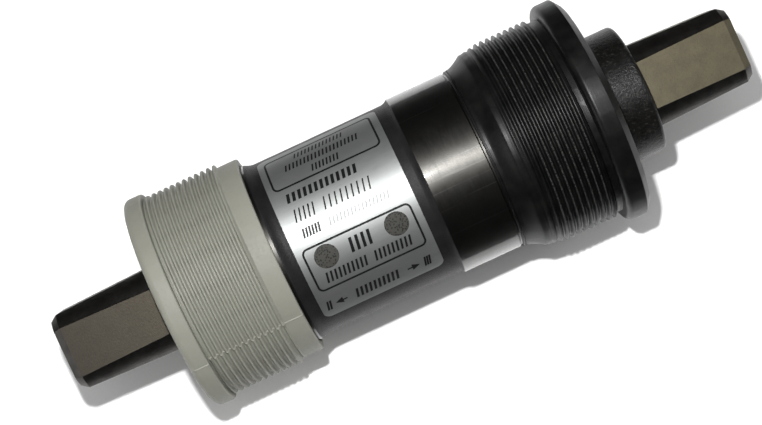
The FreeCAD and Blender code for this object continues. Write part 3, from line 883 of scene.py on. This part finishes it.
def bend(outlines, inner, outer, left, middle):
    """Closed plates bent round the axis. Outlines are (across, up) from the label's left and middle."""
    mesh = bmesh.new()
    for outline in outlines:
        mesh.faces.new([mesh.verts.new((across, up, 0)) for across, up in outline])
    bmesh.ops.remove_doubles(mesh, verts=mesh.verts, dist=1e-4)
    lowest = min(vertex.co.y for vertex in mesh.verts)
    highest = max(vertex.co.y for vertex in mesh.verts)
    for number in range(math.ceil(lowest / STRIP), math.floor(highest / STRIP) + 1):
        everything = mesh.verts[:] + mesh.edges[:] + mesh.faces[:]
        bmesh.ops.bisect_plane(mesh, geom=everything, dist=1e-4, plane_co=(0, number * STRIP, 0),
                               plane_no=(0, 1, 0))
    rims = [edge for edge in mesh.edges if len(edge.link_faces) == 1]
    bottom = set(mesh.verts)
    top = bmesh.ops.duplicate(mesh, geom=mesh.verts[:] + mesh.edges[:] + mesh.faces[:])["vert_map"]
    for edge in rims:
        first, second = edge.verts
        mesh.faces.new((first, second, top[second], top[first]))
    for vertex in mesh.verts:
        across, up = vertex.co.xy
        angle = middle - math.degrees(up / outer)
        vertex.co = place(left + across, inner if vertex in bottom else outer, angle)
    return mesh


def make_label():
    """Foil label with generic print: frames, hatching, spots and arrows, and no lettering."""
    left, middle, span, inner, outer = label_frame()
    right = sides("label_plate")[1]
    width = right - left
    half = math.radians(span) * outer / 2
    foil = finish_piece(bend([rounded_box(0, -half, width, half, 1.3, 6)], inner, outer, left, middle),
                        "label_foil_sheet", "cartridge", silver_foil(), crease=60)
    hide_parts("label_plate")

    start, end, line = 1.0, width - 1.15, 0.33
    print_rows = box_line(start, 6.9, end, 15.1, 1.0, line)
    print_rows += hatching(5.9, 14.4, 12.6, 14.0, 14)
    print_rows += hatching(3.9, 16.5, 10.2, 11.7, 20, stroke=0.28)
    print_rows += hatching(7.8, 12.6, 7.9, 9.3, 8, stroke=0.28)
    print_rows += hatching(2.3, 14.3, 4.2, 5.8, 13, stroke=0.52)
    print_rows += hatching(2.3, 6.0, 0.8, 2.9, 5, lean=0.45)
    print_rows += hatching(7.2, 15.4, 0.8, 2.9, 9, lean=0.45)
    print_rows += hatching(2.4, 5.6, -1.9, -0.4, 6, stroke=0.32)
    print_rows += box_line(start, -11.1, end, -3.4, 1.0, line)
    print_rows += hatching(8.2, 12.0, -7.0, -4.6, 4, stroke=0.50)
    print_rows += hatching(2.8, 9.9, -10.0, -8.2, 10, stroke=0.34)
    print_rows += hatching(11.0, 17.4, -10.0, -8.2, 9, stroke=0.34)
    print_rows += hatching(0.9, 2.0, -15.2, -13.2, 2, stroke=0.34)
    print_rows += arrow(4.5, 2.5, -14.2, 0.14)
    print_rows += hatching(5.9, 13.4, -15.2, -13.2, 10, stroke=0.40)
    print_rows += arrow(14.8, 16.9, -14.2, 0.14)
    print_rows += hatching(17.5, 18.9, -15.2, -13.2, 3, stroke=0.32)
    spots = disc(4.4, -5.8, 1.95) + disc(16.2, -5.8, 1.95)
    faded = hatching(6.9, 17.2, -1.7, -0.5, 17)
    ink = 0.012
    for name, outlines, material in (("label_print", print_rows, black_ink()),
                                     ("label_spots", spots, grey_ink()),
                                     ("label_faded_print", faded, faded_ink())):
        mesh = bend(outlines, outer - 0.002, outer + ink, left, middle)
        finish_piece(mesh, name, "cartridge", material, crease=60)


# -------------------------------- inner parts kept from the frame

def finish_nodes():
    """Materials of the CAD nodes that stay as they are."""
    polished = bearing_steel()
    shared = {
        "bearing_inner_race": polished,
        "bearing_outer_race": polished,
        "bearing_balls": polished,
        "bearing_cage": cage_steel(),
        "board_seal": seal_rubber(),
        "inner_race_spacer": turned_aluminium(),
        "retaining_ring": spring_steel(),
    }
    for name, piece in frame["nodes"].items():
        for part, material in shared.items():
            if part in name:
                piece.data.materials.clear()
                piece.data.materials.append(material)


# -------------------------------- floor, light and camera

CAMERA_RISE = 73.0               # degrees above the horizon, looking along +Y
ROLL = 24.9                      # the spindle's drive end is turned up by this in the picture
DISTANCE = 300.0
LENS = 88.2
AIM = (-3.99, -0.87)             # what the camera looks at: along the axis, and up the view


def view_directions():
    """Directions in the model's frame: to the camera, and up across the spindle in its view."""
    rise = math.radians(CAMERA_RISE)
    return Vector((0, -math.cos(rise), math.sin(rise))), Vector((0, math.sin(rise), math.cos(rise)))


def floor_height(along):
    """Height of the floor in mm: the object lies on its flange and on its adapter's rim."""
    clearance = 0.02
    flange_x, flange = 33.5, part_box("drive_side_cup")[0].z / MM
    rim_x, rim = -38.9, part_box("left_adapter")[0].z / MM
    return rim + (flange - rim) * (along - rim_x) / (flange_x - rim_x) - clearance


def floor_material():
    """Matt white card with the faintest tooth."""
    graph = Graph("white_card", roughness=0.85, specular=0.1)
    tooth = graph.noise(0.4)
    graph.relief((tooth, 0.01))
    return graph.finish(graph.colours(tooth, (0.2, (0.90, 0.90, 0.90)), (0.8, (0.93, 0.93, 0.93))))


def make_floor(name, half_along, near, far, sunk, material):
    """A flat sheet under the object, from one place along Y to another."""
    corners = [(-half_along, near), (half_along, near), (half_along, far), (-half_along, far)]
    mesh = bmesh.new()
    points = []
    for along, across in corners:
        points.append(mesh.verts.new(Vector((along, across, floor_height(along) - sunk)) * MM))
    mesh.faces.new(points)
    bmesh.ops.subdivide_edges(mesh, edges=mesh.edges[:], cuts=3, use_grid_fill=True)
    data = bpy.data.meshes.new(name)
    mesh.to_mesh(data)
    mesh.free()
    sheet = bpy.data.objects.new(name, data)
    bpy.context.scene.collection.objects.link(sheet)
    data.materials.append(material)
    return sheet


def make_stage():
    """White card under the object, on a wider white floor that polished parts don't mirror."""
    material = floor_material()
    make_floor("card", 120, near=-35, far=75, sunk=0, material=material)
    wide = make_floor("floor", 3000, near=-3000, far=3000, sunk=0.02, material=material)
    wide.visible_glossy = False


def make_camera():
    """The camera, rolled so that the spindle's drive end is turned up."""
    outwards, upwards = view_directions()
    roll = math.radians(ROLL)
    right = Vector((math.cos(roll), 0, 0)) - upwards * math.sin(roll)
    up = Vector((math.sin(roll), 0, 0)) + upwards * math.cos(roll)
    target = Vector((AIM[0], 0, 0)) + upwards * AIM[1]
    data = bpy.data.cameras.new("camera")
    data.lens = LENS
    camera = bpy.data.objects.new("camera", data)
    turned = Matrix((right, up, outwards)).transposed().to_4x4()
    camera.matrix_world = Matrix.Translation((target + outwards * DISTANCE) * MM) @ turned
    bpy.context.scene.collection.objects.link(camera)
    bpy.context.scene.camera = camera


def make_lamp(name, place_mm, width, watts, target=(0, 0, 0)):
    """A round soft lamp that looks at a target."""
    direction = Vector(place_mm) - Vector(target)
    data = bpy.data.lights.new(name, "AREA")
    data.shape = "DISK"
    data.size = width * MM
    data.energy = watts
    lamp = bpy.data.objects.new(name, data)
    lamp.location = Vector(place_mm) * MM
    lamp.rotation_mode = "QUATERNION"
    lamp.rotation_quaternion = direction.to_track_quat("Z", "Y")
    bpy.context.scene.collection.objects.link(lamp)


def make_lights():
    """A small key lamp just above the camera, and a wide weak one beyond each end."""
    lean, beside, away, key_width, key_watts = math.radians(10.3), -5.0, 270.0, 10.0, 0.92
    outwards, upwards = view_directions()
    direction = outwards * math.cos(lean) + upwards * math.sin(lean)
    key_place = Vector((beside, 0, 0)) + direction * away
    make_lamp("key", key_place, key_width, key_watts, target=(beside, 0, 0))
    beyond, in_front, above, width, watts = 340.0, -60.0, 130.0, 160.0, 0.24
    for name, side in (("left_fill", -1), ("right_fill", 1)):
        make_lamp(name, (side * beyond, in_front, above), width, watts)


def make_world():
    """A pale backdrop to look at, and a dim room with a glow overhead that lights the object."""
    world = bpy.data.worlds.new("studio")
    world.use_nodes = True
    bpy.context.scene.world = world
    nodes, links = world.node_tree.nodes, world.node_tree.links
    room, glow, glow_from, mirrored = 0.22, 0.7, 0.78, 0.17
    backdrop = nodes["Background"]
    place_node = nodes.new("ShaderNodeTexCoord")
    parts = nodes.new("ShaderNodeSeparateXYZ")
    overhead = nodes.new("ShaderNodeMapRange")
    overhead.interpolation_type = "SMOOTHSTEP"
    for name, value in (("From Min", glow_from), ("From Max", 1), ("To Min", room), ("To Max", room + glow)):
        overhead.inputs[name].default_value = value
    path = nodes.new("ShaderNodeLightPath")
    dimmed = nodes.new("ShaderNodeMath")
    dimmed.operation = "MULTIPLY"
    dimmed.inputs[1].default_value = mirrored
    gloss = nodes.new("ShaderNodeMix")
    strength = nodes.new("ShaderNodeMix")
    strength.inputs[3].default_value = 1.0
    links.new(place_node.outputs["Generated"], parts.inputs[0])
    links.new(parts.outputs["Z"], overhead.inputs["Value"])
    links.new(overhead.outputs["Result"], dimmed.inputs[0])
    links.new(path.outputs["Is Glossy Ray"], gloss.inputs[0])
    links.new(overhead.outputs["Result"], gloss.inputs[2])
    links.new(dimmed.outputs["Value"], gloss.inputs[3])
    links.new(path.outputs["Is Camera Ray"], strength.inputs[0])
    links.new(gloss.outputs[0], strength.inputs[2])
    links.new(strength.outputs[0], backdrop.inputs["Strength"])
    backdrop.inputs["Color"].default_value = (1, 1, 1, 1)


# -------------------------------- the scene

make_cup()
make_adapter()
make_shell()
make_dust_seal("right")
make_dust_seal("left")
make_spindle()
make_label()
finish_nodes()
make_stage()
make_world()
make_lights()
make_camera()
bpy.context.scene.view_settings.view_transform = "Standard"
